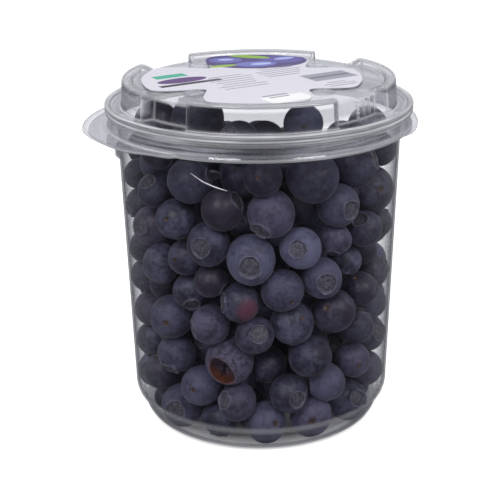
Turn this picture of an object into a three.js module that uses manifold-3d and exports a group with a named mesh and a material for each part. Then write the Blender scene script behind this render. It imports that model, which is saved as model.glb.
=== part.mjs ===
// A round clear punnet of blueberries: tub, press-on lid, paper label and the heap of berries inside.
// Millimetres, +Z up, origin at the centre of the flat base. Azimuth 0 is +X, and the front is at -Y (270).

import * as THREE from 'three';
import { mergeVertices } from 'three/addons/utils/BufferGeometryUtils.js';
import Module from 'manifold-3d';

const wasm = await Module();
wasm.setup();

// ---- Driving sizes ----

const TUB_GAUGE = 0.6;
const LID_GAUGE = 0.5;
const CLEARANCE = 0.3; // between pieces that touch
const FACET_SLACK = 0.2; // how far a facet's middle lies inside its round
const SIDES = 44; // facets round the pack
const LEAST_STEP = 0.45; // share of an even step that must lie between it and a corner

// Tub, on its outer face
const BASE_R = 45.9;
const BASE_CORNER = 3.5;
const CORNER_CUT = 0.3; // share of the base corner by which its middle is cut back
const FOOT_R = 47;
const FOOT_TOP = 6;
const FOOT_EDGE = 0.4;
const FOOT_INSIDE = 6.6; // height of the foot's upper corner on the inner face
const SHOULDER_R = 49.5; // the wall starts above a short chamfer
const SHOULDER_TOP = 9.8;
const SHOULDER_INSIDE = 10;
const MOUTH_R = 52.6;
const MOUTH_Z = 118.6;
const RIM_TOP = 120.7; // the rim is folded over, and its outer leg ends in a flange
const RIM_R = 55;
const FLANGE_R = 56;
const FLANGE_Z = 113.1;
const FLANGE_GAUGE = 0.6;
const TUB_TAB_BACK = 2.2; // the tub's tab ends this far inside the lid's

// Stacking lug on the tub's left side
const WALL_LUG = { azimuth: 180, low: 100, high: 106, proud: 1.7, width: 7 };

// Lid, on its outer face
const PLATEAU_Z = 129.3;
const LUG_TOP = 131.4;
const LUG_R = 50.1; // outer wall of the crown at a lug
const LUG_WIDTH = 3;
const LUG_SLOPE = 1.2; // run of a lug's inner side
const LUG_EDGE = 0.8;
const GAP_R = 45.6; // outer wall of the crown between two lugs
const CROWN_FOOT_R = 50.9;
const CHANNEL_Z = 121.5;
const RING_IN_R = 54.4;
const RING_TOP = 122.6;
const RING_R = 56.8;
const RING_EDGE = 0.6;
const RING_SLOPE = 0.6; // run of the ring's inner side
const BEAD_Z = 119.9;
const BEAD_R = 56.7;
const BEAD_FLAT = 0.5; // half the height of the bead's face
const BEAD_REACH = 1.2; // from the bead's middle to the bands above and below it
const NECK_R = 56.2; // groove between the bead and the ring
const GRIP_R = 55.9; // hollow band under the bead
const GRIP_LOW = 0.8; // from the lip up to the hollow band
const LIP_R = 56.4;
const LIP_Z = 114.3;
const LIP_GAUGE = 0.5;
// Azimuths at which each crown lug starts and ends
const LUGS = [[62, 125], [155, 217], [240, 303], [333, 397]];
const LUG_END = 2.4; // degrees over which a lug's end face turns
// Pull tabs of the lid: azimuth and radius along each edge
const LEFT_TAB = [
  [150, 56.4], [155, 63], [172, 64.2], [194, 65.6], [212, 63.8],
  [223, 63.4], [231, 60.7], [238, 60], [241.5, 56.4],
];
const RIGHT_TAB = [[332, 56.4], [337, 58.7], [360, 59], [372, 59.6], [377, 56.4]];

// Studs on the lid's top that centre the pack above it
const STUD = { circle: 32, radius: 4, height: 1, shoulder: 0.8, shoulderHeight: 0.75, sides: 10 };
const STUDS = 4;
const FIRST_STUD = 45; // azimuth

// Label: a round sheet, longer front to back by its reach, with a hollow on the near side of each stud
const LABEL = { x: -2.5, y: 1.5, radius: 40.5, reach: 2.5, gauge: 0.25, points: 72 };
const HOLLOW = { fromStud: 5.6, halfAngle: 22 };

// Berries
const SMALLEST = 12.2;
const SIZE_SPREAD = 4.8;
const LOOSE_BERRIES = 175;
const SEED = 20417;
const START = { reach: 42, low: 8, depth: 100 }; // the space that loose berries are strewn in
const HEAP_FLOOR = 1;
const HEAP_CEILING = 128.3;
const HEAP_TOP = 112.5; // top of the loose berries at the axis
const HEAP_SLOPE = 0.22; // by which their top falls from the front to the back
const HEART = { radius: 17, low: 26, high: 80 }; // middle of the heap, behind two layers of berries
const SETTLING_PASSES = 320;
const RESTING_PASSES = 80;
const SINK = 0.08; // how far a loose berry drops in a pass
const SPREAD = 0.0006; // share by which a loose berry moves out in a pass
const PUSHES = 2; // times in a pass that overlapping berries are moved apart
const PASSES_BETWEEN_SEARCHES = 8;
const MOST_SQUEEZE = 1.4; // overlap from which a loose berry is left out
const SEARCH_MARGIN = 5;
const SIDE_LEAN = 0.7; // share of its radius at which a berry's side is checked against the wall

// Core of the heap, which the berries that show are fused to
const CORE = { depth: 9.5, low: 7.5, high: 100, bevel: 3, sides: 24 };
const BERRY_SWELL = 1.05; // faceted berries reach this far beyond the true radius, to keep its volume
const LEAST_SHOWING = 4; // a berry that stands out of the core by less is left out
const LARGE_BERRY = 7.8; // radius from which a berry has more facets
const TURN = { spin: 2.4, tip: 1.1 }; // radians by which each berry is turned on from the last
// A berry whose middle stands clear of the core by this share of its radius is joined to one below it
const CLEAR_OF_CORE = 0.55;
const NECK = { radius: 2.6, sides: 4 };

// The berries that lie against the front: azimuth, height, diameter, distance behind the wall
const FRONT_BERRIES = [
  [211, 96, 12.4, 0], [236, 101.5, 14.8, 0], [252, 92, 14.2, 1], [227.5, 86, 14.2, 0],
  [243.5, 79, 15, 0], [296.5, 103, 17.2, 0], [275.5, 91, 16.4, 0], [309.5, 91.5, 15, 0],
  [347.5, 91, 17, 0], [330, 78.5, 13, 0], [310.5, 78, 11.4, 3], [289, 78, 14.2, 0],
  [211.5, 65.5, 14.2, 0], [230.5, 72, 12.8, 3], [245, 64, 12, 3], [260, 57.5, 13.8, 1],
  [229.5, 57, 13.6, 4], [218, 47, 15.6, 0], [245, 46.5, 13.6, 1], [265, 74, 17, 0],
  [301, 65, 14.2, 0], [280.5, 62.5, 14.8, 0], [309, 50.5, 15.4, 0], [287, 47.5, 15.4, 2],
  [329, 55.5, 12.6, 0], [329.5, 39.5, 13.4, 1], [266.5, 45, 13.4, 1], [254, 32, 17.8, 0],
  [237.5, 22, 14.6, 1], [218.5, 9, 15.8, 0], [259, 18, 13.8, 0], [247, 8.2, 13.8, 2],
  [219.5, 31.5, 14.2, 1], [284, 17.5, 13.8, 3], [297, 8.8, 15.4, 0], [328.5, 9, 15.4, 0],
  [305, 23, 13.8, 1], [295.5, 35, 15.2, 0], [325, 27.5, 12.8, 0], [271, 8.6, 15, 0],
  [188, 95, 12, 0], [187, 83.5, 12.6, 0], [202.5, 78, 14.6, 0], [190, 67.5, 12.8, 0],
  [189, 54.5, 12.8, 0], [204, 56, 12.4, 4], [189, 40.5, 13.2, 0], [189, 27.5, 13.2, 0],
  [190, 15, 14.6, 0], [199, 6.8, 11.4, 1], [214, 108.5, 12, 2], [352, 103, 12, 1],
  [350, 77, 12, 0], [346, 67, 12, 3], [350, 57, 12.6, 0], [326, 65.5, 12.2, 6],
  [350, 44, 12.6, 0], [350, 30, 14, 0], [346, 17, 14.4, 0], [352, 6.8, 11.4, 2],
  [275, 28, 14, 10],
];
// The tall berries under the crown and those that they rest on: x, y, height, diameter
const TOP_BERRIES = [
  [-23, -18, 119, 18], [-37, -13, 115.5, 15.5], [15.5, -29.5, 120, 13], [-7, -38, 116, 13.5],
  [2.5, -28, 113.2, 13.6], [41.5, -13, 112.6, 14], [-25, -16, 103, 14.5], [13, -25, 106, 15.5],
  [-6, -33, 102, 15.5], [38, -10, 100, 13], [-36, -15, 101.5, 13.5],
];
// The berry that has split: its place in FRONT_BERRIES, and its mouth
const SPLIT = { berry: 27, azimuth: 243, rise: -4, width: 9.4, height: 10.6, depth: 4.5 };

const WALL_LEAN = (MOUTH_R - SHOULDER_R) / (MOUTH_Z - SHOULDER_TOP);
const DEGREE = Math.PI / 180;

// ---- Shells of revolution whose profile may change with azimuth ----

function evenAzimuths(count) {
  return Array.from({ length: count }, (_, i) => (360 * i) / count);
}

// A profile is a list of [radius, height] that starts and ends on the axis and goes round the sheet once.
function shell(azimuths, profileAt) {
  const profiles = azimuths.map(profileAt);
  const rows = profiles[0].length - 2;
  const position = [0, 0, profiles[0][0][1]];
  profiles.forEach((profile, i) => {
    const cos = Math.cos(azimuths[i] * DEGREE);
    const sin = Math.sin(azimuths[i] * DEGREE);
    for (const [r, z] of profile.slice(1, -1)) position.push(r * cos, r * sin, z);
  });
  position.push(0, 0, profiles[0][rows + 1][1]);
  const last = position.length / 3 - 1;
  const index = [];
  azimuths.forEach((_, i) => {
    const here = 1 + i * rows;
    const next = 1 + ((i + 1) % azimuths.length) * rows;
    index.push(0, next, here);
    for (let k = 0; k < rows - 1; k++) {
      index.push(here + k, next + k, next + k + 1);
      index.push(here + k, next + k + 1, here + k + 1);
    }
    index.push(here + rows - 1, next + rows - 1, last);
  });
  const geometry = new THREE.BufferGeometry();
  geometry.setAttribute('position', new THREE.Float32BufferAttribute(position, 3));
  geometry.setIndex(index);
  return geometry;
}

function smooth(t) {
  const s = Math.min(Math.max(t, 0), 1);
  return s * s * (3 - 2 * s);
}

// The value at x on a line through the points of a table, level beyond its ends
function valueAt(table, x) {
  const k = table.findIndex(([at]) => at >= x);
  if (k === 0) return table[0][1];
  if (k < 0) return table.at(-1)[1];
  const [[from, low], [to, high]] = [table[k - 1], table[k]];
  return low + ((high - low) * (x - from)) / (to - from);
}

// Radius of a tab's edge at an azimuth, or the plain lip's where there is no tab
function tabRadius(azimuth) {
  const right = valueAt(RIGHT_TAB, azimuth < RIGHT_TAB[0][0] - 180 ? azimuth + 360 : azimuth);
  return Math.max(valueAt(LEFT_TAB, azimuth), right);
}

// 1 on a crown lug, 0 between lugs
function lugShare(azimuth) {
  let share = 0;
  for (const [start, end] of LUGS) {
    for (const a of [azimuth, azimuth + 360]) {
      const into = Math.min(a - start, end - a);
      share = Math.max(share, smooth(into / LUG_END + 0.5));
    }
  }
  return share;
}

// Even steps, with the step nearest each corner moved onto it
function lidAzimuths() {
  const lugCorners = LUGS.flat().flatMap((a) => [a - LUG_END / 2, a + LUG_END / 2]);
  const tabEnds = [LEFT_TAB, RIGHT_TAB].flatMap((tab) => [...tab.slice(0, 2), ...tab.slice(-2)]);
  const corners = [...lugCorners, ...tabEnds.map(([a]) => a)].map((a) => a % 360);
  const clear = (360 / SIDES) * LEAST_STEP;
  const apart = (a, b) => Math.abs(((a - b + 540) % 360) - 180);
  const even = evenAzimuths(SIDES).filter((a) => corners.every((c) => apart(a, c) > clear));
  return [...corners, ...even].sort((a, b) => a - b);
}

// ---- Solids that need a join or a cut ----

function toSolid(geometry) {
  const bare = geometry.clone();
  bare.deleteAttribute('normal');
  bare.deleteAttribute('uv');
  const merged = mergeVertices(bare, 1e-4);
  return new wasm.Manifold(new wasm.Mesh({
    numProp: 3,
    vertProperties: Float32Array.from(merged.attributes.position.array),
    triVerts: Uint32Array.from(merged.index.array),
  }));
}

function toGeometry(solid) {
  const mesh = solid.getMesh();
  const geometry = new THREE.BufferGeometry();
  geometry.setAttribute('position', new THREE.BufferAttribute(mesh.vertProperties, 3));
  geometry.setIndex(new THREE.BufferAttribute(mesh.triVerts, 1));
  return geometry;
}

// ---- Tub ----

function wallRadius(z) {
  return SHOULDER_R + (z - SHOULDER_TOP) * WALL_LEAN;
}

function tubProfile(azimuth) {
  const t = TUB_GAUGE;
  const edge = Math.max(FLANGE_R, tabRadius(azimuth) - TUB_TAB_BACK);
  const outerLegInside = RIM_R - t;
  return [
    [0, 0],
    [BASE_R - BASE_CORNER, 0],
    [BASE_R - CORNER_CUT * BASE_CORNER, CORNER_CUT * BASE_CORNER],
    [BASE_R, BASE_CORNER],
    [FOOT_R - FOOT_EDGE, FOOT_TOP],
    [FOOT_R, FOOT_TOP + FOOT_EDGE],
    [SHOULDER_R, SHOULDER_TOP],
    [MOUTH_R, MOUTH_Z],
    [MOUTH_R + t, RIM_TOP - t],
    [outerLegInside, RIM_TOP - t],
    [outerLegInside, FLANGE_Z],
    [edge, FLANGE_Z],
    [edge, FLANGE_Z + FLANGE_GAUGE],
    [RIM_R, FLANGE_Z + FLANGE_GAUGE],
    [RIM_R, RIM_TOP - t],
    [RIM_R - t, RIM_TOP],
    [MOUTH_R, RIM_TOP],
    [MOUTH_R - t, MOUTH_Z],
    [SHOULDER_R - t, SHOULDER_INSIDE],
    [FOOT_R - t, FOOT_INSIDE],
    [BASE_R - t, BASE_CORNER],
    [BASE_R - BASE_CORNER, t],
    [0, t],
  ];
}

function makeTub() {
  const { azimuth, low, high, proud, width } = WALL_LUG;
  const rooted = 0.2; // how deep the lug's back sits in the wall
  const outline = new THREE.Shape([
    new THREE.Vector2(-rooted, low),
    new THREE.Vector2(proud, low + proud),
    new THREE.Vector2(proud, high - proud / 2),
    new THREE.Vector2(-rooted, high),
  ]);
  const lug = new THREE.ExtrudeGeometry(outline, { depth: width, bevelEnabled: false });
  lug.translate(wallRadius(low), 0, -width / 2).rotateX(Math.PI / 2).rotateZ(azimuth * DEGREE);
  return toGeometry(toSolid(shell(evenAzimuths(SIDES), tubProfile)).add(toSolid(lug)));
}

// ---- Lid ----

function lidProfile(azimuth) {
  const t = LID_GAUGE;
  const share = lugShare(azimuth);
  const crownR = GAP_R + (LUG_R - GAP_R) * share;
  const footR = crownR + (CROWN_FOOT_R - LUG_R);
  const top = PLATEAU_Z + (LUG_TOP - PLATEAU_Z) * share;
  const edge = tabRadius(azimuth);
  const lugIn = crownR - LUG_WIDTH;
  return [
    [0, PLATEAU_Z - t],
    [lugIn - LUG_SLOPE + t, PLATEAU_Z - t],
    [lugIn + t, top - t],
    [crownR - LUG_EDGE / 2 - t, top - t],
    [crownR - t, top - LUG_EDGE - t],
    [footR - t, CHANNEL_Z - t],
    [RING_IN_R, CHANNEL_Z - t],
    [RING_IN_R + RING_SLOPE, RING_TOP - t],
    [RING_R - RING_EDGE - t, RING_TOP - t],
    [RING_R - t, BEAD_Z],
    [GRIP_R - t, BEAD_Z - BEAD_REACH],
    [GRIP_R - t, LIP_Z + GRIP_LOW - LIP_GAUGE],
    [LIP_R - t, LIP_Z - LIP_GAUGE],
    [edge, LIP_Z - LIP_GAUGE],
    [edge, LIP_Z],
    [LIP_R - LIP_GAUGE / 2, LIP_Z],
    [GRIP_R, LIP_Z + GRIP_LOW],
    [GRIP_R, BEAD_Z - BEAD_REACH],
    [BEAD_R, BEAD_Z - BEAD_FLAT],
    [BEAD_R, BEAD_Z + BEAD_FLAT],
    [NECK_R, BEAD_Z + BEAD_REACH],
    [RING_R, RING_TOP - RING_EDGE],
    [RING_R - RING_EDGE, RING_TOP],
    [RING_IN_R + RING_SLOPE, RING_TOP],
    [RING_IN_R, CHANNEL_Z],
    [footR, CHANNEL_Z],
    [crownR, top - LUG_EDGE],
    [crownR - LUG_EDGE, top],
    [lugIn, top],
    [lugIn - LUG_SLOPE, PLATEAU_Z],
    [0, PLATEAU_Z],
  ];
}

function studPlaces() {
  return evenAzimuths(STUDS).map((azimuth) => {
    const angle = (FIRST_STUD + azimuth) * DEGREE;
    return [STUD.circle * Math.cos(angle), STUD.circle * Math.sin(angle)];
  });
}

function makeLid() {
  const sunk = 0.2; // how deep a stud's foot sits in the lid
  const { radius, height, shoulder, shoulderHeight, sides } = STUD;
  const bend = [radius * shoulder, height * shoulderHeight];
  const dome = [[0, -sunk], [radius, -sunk], [radius, 0], bend, [0, height]];
  const profile = dome.map(([r, z]) => new THREE.Vector2(r, z));
  let lid = toSolid(shell(lidAzimuths(), lidProfile));
  for (const [x, y] of studPlaces()) {
    const stud = new THREE.LatheGeometry(profile, sides).rotateX(Math.PI / 2).translate(x, y, PLATEAU_Z);
    lid = lid.add(toSolid(stud));
  }
  return toGeometry(lid);
}

// ---- Label ----

function labelRadius(angle) {
  const full = LABEL.radius + LABEL.reach * Math.sin(angle * DEGREE) ** 2;
  let radius = full;
  for (const [x, y] of studPlaces()) {
    const toward = Math.atan2(y - LABEL.y, x - LABEL.x) / DEGREE;
    const off = Math.abs(((angle - toward + 540) % 360) - 180);
    const share = Math.cos((Math.min(off / HOLLOW.halfAngle, 1) * Math.PI) / 2) ** 2;
    const near = Math.hypot(x - LABEL.x, y - LABEL.y) - HOLLOW.fromStud;
    radius = Math.min(radius, full - (full - near) * share);
  }
  return radius;
}

function makeLabel() {
  const { x, y, gauge, points } = LABEL;
  const outline = evenAzimuths(points).map((angle) => {
    const r = labelRadius(angle);
    return new THREE.Vector2(x + r * Math.cos(angle * DEGREE), y + r * Math.sin(angle * DEGREE));
  });
  const sheet = new THREE.ExtrudeGeometry(new THREE.Shape(outline), { depth: gauge, bevelEnabled: false });
  return sheet.translate(0, 0, PLATEAU_Z + CLEARANCE);
}

// ---- Heap of berries ----

// Seeded draws from 0 to 1
const DRAW_FACTOR = 16807;
const DRAW_RANGE = 2147483647;
let drawn = SEED;

function draw() {
  drawn = (drawn * DRAW_FACTOR) % DRAW_RANGE;
  return drawn / DRAW_RANGE;
}

// To whole thousandths, so that the heap settles alike wherever it is worked out
function tidy(value) {
  return Math.round(value * 1000) / 1000;
}

// Radius open to the berries at a height: the foot's, the wall's, then the crown's
const INSET = TUB_GAUGE + CLEARANCE + FACET_SLACK;
const CROWN_ROOM = GAP_R - LID_GAUGE - CLEARANCE - FACET_SLACK;
const NECK_Z = MOUTH_Z - 2; // below the mouth, where the room starts to narrow to the crown
const ROOM = [
  [HEAP_FLOOR, BASE_R - BASE_CORNER - FACET_SLACK],
  [BASE_CORNER + CLEARANCE, BASE_R - INSET],
  [FOOT_INSIDE, FOOT_R - INSET],
  [SHOULDER_INSIDE, SHOULDER_R - INSET],
  [NECK_Z, wallRadius(NECK_Z) - INSET],
  [CHANNEL_Z - LID_GAUGE - CLEARANCE, CROWN_ROOM],
  [HEAP_CEILING, CROWN_ROOM],
];

// How far out the centre of a berry may be: its middle, its lower and its upper part all clear the wall
function centreLimit(z, r) {
  const rise = SIDE_LEAN * r;
  const slack = r - Math.sqrt(r * r - rise * rise);
  const ends = Math.min(valueAt(ROOM, z - rise), valueAt(ROOM, z + rise)) + slack;
  return Math.min(valueAt(ROOM, z), ends) - r;
}

function settledBerries() {
  const berries = [];
  for (const [azimuth, z, size, behind] of FRONT_BERRIES) {
    const r = size / 2;
    const out = centreLimit(z, r) - behind;
    const x = tidy(out * Math.cos(azimuth * DEGREE));
    const y = tidy(out * Math.sin(azimuth * DEGREE));
    berries.push({ x, y, z, r, placed: true });
  }
  for (const [x, y, z, size] of TOP_BERRIES) berries.push({ x, y, z, r: size / 2, placed: true });
  for (let i = 0; i < LOOSE_BERRIES; i++) {
    const r = (SMALLEST + (SIZE_SPREAD * (draw() + draw())) / 2) / 2;
    let x = 1;
    let y = 1;
    while (x * x + y * y > 1) {
      x = 2 * draw() - 1;
      y = 2 * draw() - 1;
    }
    const z = START.low + START.depth * draw();
    berries.push({ x: x * START.reach, y: y * START.reach, z, r, placed: false });
  }
  let pairs = [];
  for (let pass = 0; pass < SETTLING_PASSES + RESTING_PASSES; pass++) {
    if (pass % PASSES_BETWEEN_SEARCHES === 0) pairs = nearPairs(berries);
    if (pass < SETTLING_PASSES) {
      for (const berry of berries) if (!berry.placed) settle(berry);
    }
    for (let push = 0; push < PUSHES; push++) {
      for (const [a, b] of pairs) part(a, b);
    }
    for (const berry of berries) contain(berry);
  }
  return unsqueezed(berries);
}

// Leaves out each loose berry that found no room
function unsqueezed(berries) {
  const kept = [];
  for (const berry of berries) {
    const fits = ({ x, y, z, r }) => {
      const nearest = berry.r + r - MOST_SQUEEZE;
      const dx = x - berry.x;
      const dy = y - berry.y;
      const dz = z - berry.z;
      return dx * dx + dy * dy + dz * dz > nearest * nearest;
    };
    if (berry.placed || kept.every(fits)) kept.push(berry);
  }
  return kept;
}

// A loose berry drops and rolls out toward the wall
function settle(berry) {
  berry.z -= SINK;
  berry.x += berry.x * SPREAD;
  berry.y += berry.y * SPREAD;
}

function nearPairs(berries) {
  const pairs = [];
  for (let i = 0; i < berries.length; i++) {
    for (let j = i + 1; j < berries.length; j++) {
      const [a, b] = [berries[i], berries[j]];
      const reach = a.r + b.r + SEARCH_MARGIN;
      const dx = b.x - a.x;
      const dy = b.y - a.y;
      const dz = b.z - a.z;
      if (dx * dx + dy * dy + dz * dz < reach * reach) pairs.push([a, b]);
    }
  }
  return pairs;
}

// Moves two berries that overlap apart. A placed berry holds its ground against a loose one.
function part(a, b) {
  const dx = b.x - a.x;
  const dy = b.y - a.y;
  const dz = b.z - a.z;
  const gap = Math.sqrt(dx * dx + dy * dy + dz * dz);
  const overlap = a.r + b.r - gap;
  if (overlap <= 0) return;
  const shareA = a.placed === b.placed ? 0.5 : Number(b.placed);
  const moveA = (overlap * shareA) / gap;
  const moveB = (overlap * (1 - shareA)) / gap;
  a.x -= dx * moveA;
  a.y -= dy * moveA;
  a.z -= dz * moveA;
  b.x += dx * moveB;
  b.y += dy * moveB;
  b.z += dz * moveB;
}

// Keeps a berry off the floor, the lid, the wall and the heart of the heap
function contain(berry) {
  const top = berry.placed ? HEAP_CEILING : HEAP_TOP - HEAP_SLOPE * berry.y;
  berry.z = Math.min(Math.max(berry.z, HEAP_FLOOR + berry.r), top - berry.r);
  const rise = berry.z - Math.min(Math.max(berry.z, HEART.low), HEART.high);
  const out = Math.sqrt(berry.x * berry.x + berry.y * berry.y);
  const fromHeart = Math.sqrt(out * out + rise * rise);
  const clear = HEART.radius + berry.r;
  if (fromHeart < clear && out > 0) {
    const grow = clear / fromHeart;
    berry.x *= grow;
    berry.y *= grow;
    berry.z += rise * (grow - 1);
  }
  const limit = centreLimit(berry.z, berry.r);
  const now = Math.sqrt(berry.x * berry.x + berry.y * berry.y);
  if (now > limit) {
    berry.x *= limit / now;
    berry.y *= limit / now;
  }
}

// The room inside the pack as a solid, a clearance short of its walls
function roomSolid() {
  const wall = ROOM.map(([z, r]) => new THREE.Vector2(r, z));
  const profile = [new THREE.Vector2(0, HEAP_FLOOR), ...wall, new THREE.Vector2(0, HEAP_CEILING)];
  return toSolid(new THREE.LatheGeometry(profile, SIDES).rotateX(Math.PI / 2));
}

function coreRadius(z) {
  return wallRadius(z) - CORE.depth;
}

// What is missing where a berry has split: a flattened ball across its skin
function splitMouth({ x, y, z, r }) {
  const { azimuth, rise, width, height, depth } = SPLIT;
  const mouth = new THREE.OctahedronGeometry(1, 1).scale(depth, width / 2, height / 2);
  mouth.translate(r, 0, 0).rotateY(-rise * DEGREE).rotateZ(azimuth * DEGREE);
  return toSolid(mouth.translate(x, y, z));
}

// How far a point stands out of the core
function beyondCore({ x, y, z }) {
  return Math.max(Math.hypot(x, y) - coreRadius(z), z - CORE.high, CORE.low - z);
}

// Joins a berry to the nearest one whose middle is lower, where the two touch
function neck(berry, berries) {
  const middle = new THREE.Vector3(berry.x, berry.y, berry.z);
  const away = (other) => middle.distanceTo(other) - other.r;
  const lower = berries.filter((other) => other.z < berry.z - berry.r / 2);
  const support = lower.reduce((a, b) => (away(b) < away(a) ? b : a));
  const way = new THREE.Vector3(support.x, support.y, support.z).sub(middle);
  const bar = new THREE.CylinderGeometry(NECK.radius, NECK.radius, way.length(), NECK.sides);
  const along = new THREE.Vector3(0, 1, 0); // the bar's own length
  const turn = new THREE.Quaternion().setFromUnitVectors(along, way.clone().normalize());
  bar.applyQuaternion(turn).translate(...middle.addScaledVector(way, 0.5).toArray());
  return toSolid(bar);
}

function makeHeap() {
  const { low, high, bevel, sides } = CORE;
  const profile = [
    new THREE.Vector2(0, low),
    new THREE.Vector2(coreRadius(low) - bevel, low),
    new THREE.Vector2(coreRadius(low), low + bevel),
    new THREE.Vector2(coreRadius(high), high - bevel),
    new THREE.Vector2(coreRadius(high) - bevel, high),
    new THREE.Vector2(0, high),
  ];
  let heap = toSolid(new THREE.LatheGeometry(profile, sides).rotateX(Math.PI / 2));
  const berries = settledBerries();
  berries.forEach((berry, i) => {
    if (beyondCore(berry) + berry.r < LEAST_SHOWING) return;
    const reach = berry.r * BERRY_SWELL;
    const large = berry.r > LARGE_BERRY;
    const ball = large ? new THREE.OctahedronGeometry(reach, 1) : new THREE.IcosahedronGeometry(reach, 0);
    ball.rotateZ(i * TURN.spin).rotateX(i * TURN.tip).translate(berry.x, berry.y, berry.z);
    heap = heap.add(toSolid(ball));
    if (beyondCore(berry) > CLEAR_OF_CORE * berry.r) heap = heap.add(neck(berry, berries));
  });
  return toGeometry(heap.subtract(splitMouth(berries[SPLIT.berry])).intersect(roomSolid()));
}

// ---- The punnet ----

const clearPlastic = { roughness: 0.08, transparent: true, opacity: 0.35, side: THREE.DoubleSide };
const tubMaterial = new THREE.MeshStandardMaterial({ color: 0xd9dcde, ...clearPlastic });
const lidMaterial = new THREE.MeshStandardMaterial({ color: 0xdfe2e5, ...clearPlastic });
const labelMaterial = new THREE.MeshStandardMaterial({ color: 0xf1eff4, roughness: 0.55 });
const berryMaterial = new THREE.MeshStandardMaterial({ color: 0x3a3c50, roughness: 0.6 });

function piece(name, geometry, material) {
  const mesh = new THREE.Mesh(geometry, material);
  mesh.name = name;
  return mesh;
}

const punnet = new THREE.Group();
punnet.add(
  piece('berries', makeHeap(), berryMaterial),
  piece('tub', makeTub(), tubMaterial),
  piece('lid', makeLid(), lidMaterial),
  piece('label', makeLabel(), labelMaterial),
);

export default punnet;
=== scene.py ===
"""A clear punnet of blueberries: the finish of tub, lid and label, and every berry of the heap.

Sizes are in millimetres, and MM turns them into Blender's metres. Azimuths are in degrees:
0 is +X, and the front is at -Y (270). The camera looks at the front from a little above.
"""

from dataclasses import dataclass
from functools import reduce
from math import asin, atan2, ceil, cos, degrees, dist, exp, floor
from math import hypot, pi, radians, remainder, sin, sqrt, tau

import bpy
import numpy as np
from mathutils import Matrix, Vector


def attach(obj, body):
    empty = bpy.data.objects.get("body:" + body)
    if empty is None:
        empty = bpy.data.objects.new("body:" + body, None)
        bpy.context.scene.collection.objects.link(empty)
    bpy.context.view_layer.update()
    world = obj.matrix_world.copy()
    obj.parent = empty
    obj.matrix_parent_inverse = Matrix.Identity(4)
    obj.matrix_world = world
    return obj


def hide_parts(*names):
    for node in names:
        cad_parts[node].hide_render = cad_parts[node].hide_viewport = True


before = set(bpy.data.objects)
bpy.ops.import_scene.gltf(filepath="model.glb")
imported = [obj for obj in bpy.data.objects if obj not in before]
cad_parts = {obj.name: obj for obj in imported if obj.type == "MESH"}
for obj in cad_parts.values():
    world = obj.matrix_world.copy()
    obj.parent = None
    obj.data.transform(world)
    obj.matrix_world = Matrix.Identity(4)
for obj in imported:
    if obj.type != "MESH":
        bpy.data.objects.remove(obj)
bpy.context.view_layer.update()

MM = 0.001

# ---- Sizes of the tub and the lid, as the solids have them ----

TUB_GAUGE = 0.6
LID_GAUGE = 0.5
CLEARANCE = 0.3
FACET_SLACK = 0.2
BASE_R = 45.9
BASE_CORNER = 3.5
FOOT_R = 47
FOOT_TOP = 6
FOOT_INSIDE = 6.6
SHOULDER_R = 49.5
SHOULDER_TOP = 9.8
SHOULDER_INSIDE = 10
MOUTH_R = 52.6
MOUTH_Z = 118.6
WALL_LEAN = (MOUTH_R - SHOULDER_R) / (MOUTH_Z - SHOULDER_TOP)
RIM_TOP = 120.7
RIM_R = 55
FLANGE_R = 56
FLANGE_Z = 113.1
WALL_LUG = {"azimuth": 180, "low": 100, "high": 106, "proud": 1.7, "width": 7, "side": 0.6, "top": 0.9}

PLATEAU_Z = 129.3
LUG_TOP = 131.4
LUG_R = 50.1
LUG_WIDTH = 3
LUGS = [(62, 125), (155, 217), (240, 303), (333, 397)]
LUG_END = 2.4
GAP_R = 45.6
CROWN_FOOT_R = 50.9
CHANNEL_Z = 121.5
RING_IN_R = 54.4
RING_TOP = 122.6
RING_R = 56.8
BEAD_Z = 119.9
GRIP_R = 55.9
LIP_R = 56.4
LIP_Z = 114.3
LEFT_TAB = [
    (150, 56.4), (155, 63), (172, 64.2), (194, 65.6), (212, 63.8),
    (223, 63.4), (231, 60.7), (238, 60), (241.5, 56.4),
]
RIGHT_TAB = [(332, 56.4), (337, 58.7), (360, 59), (372, 59.6), (377, 56.4)]
TUB_TAB_BACK = 2.2
LID_TAB_BACK = 0.2
STUD = {"circle": 32, "radius": 4, "height": 1}
STUD_AZIMUTHS = (45, 135, 225, 315)
LABEL = {"x": -2.5, "y": 1.5, "radius": 40.5, "reach": 2.5, "gauge": 0.25}
HOLLOW = {"from_stud": 5.6, "half_angle": 22}

# ---- Relief that the solids lack ----

STREAK = [(243.4, 107.5), (248.8, 104.8), (253.3, 103.4), (258, 102.3)]  # azimuth and height on the wall
STREAK_GIRTH = 0.22
STREAK_PROUD = 0.05
RIBS = {"from": 316, "to": 329, "string": 318, "beads": 5, "bead": 0.55, "ridge": 0.3, "proud": 0.6}
COLUMN_SIDES = (322.3, 326.6)

# Steps round the pack and along its profile. The finer ones, at tabs, lugs and relief, are from, to and step
EVEN_STEP = 2
NO_TAB = 90
ON_LUG = 300
TUB_ROWS = {"lug": 0.8, "plain": 8}
LID_ROWS = {"flat": 6, "wall": 0.4, "edge": 1}
TUB_ZONES = [(175, 185, 0.4), (148, 158, 0.5), (228, 243, 0.5), (330, 339, 0.5), (370, 379, 0.5)]
LID_ZONES = [(end - 1.8, end + 1.8, 0.3) for lug in LUGS for end in lug]
LID_ZONES.append((RIBS["from"] + 0.4, RIBS["to"] - 0.6, 0.15))

# ---- The heap, which settles here as it does in the solids ----

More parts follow.
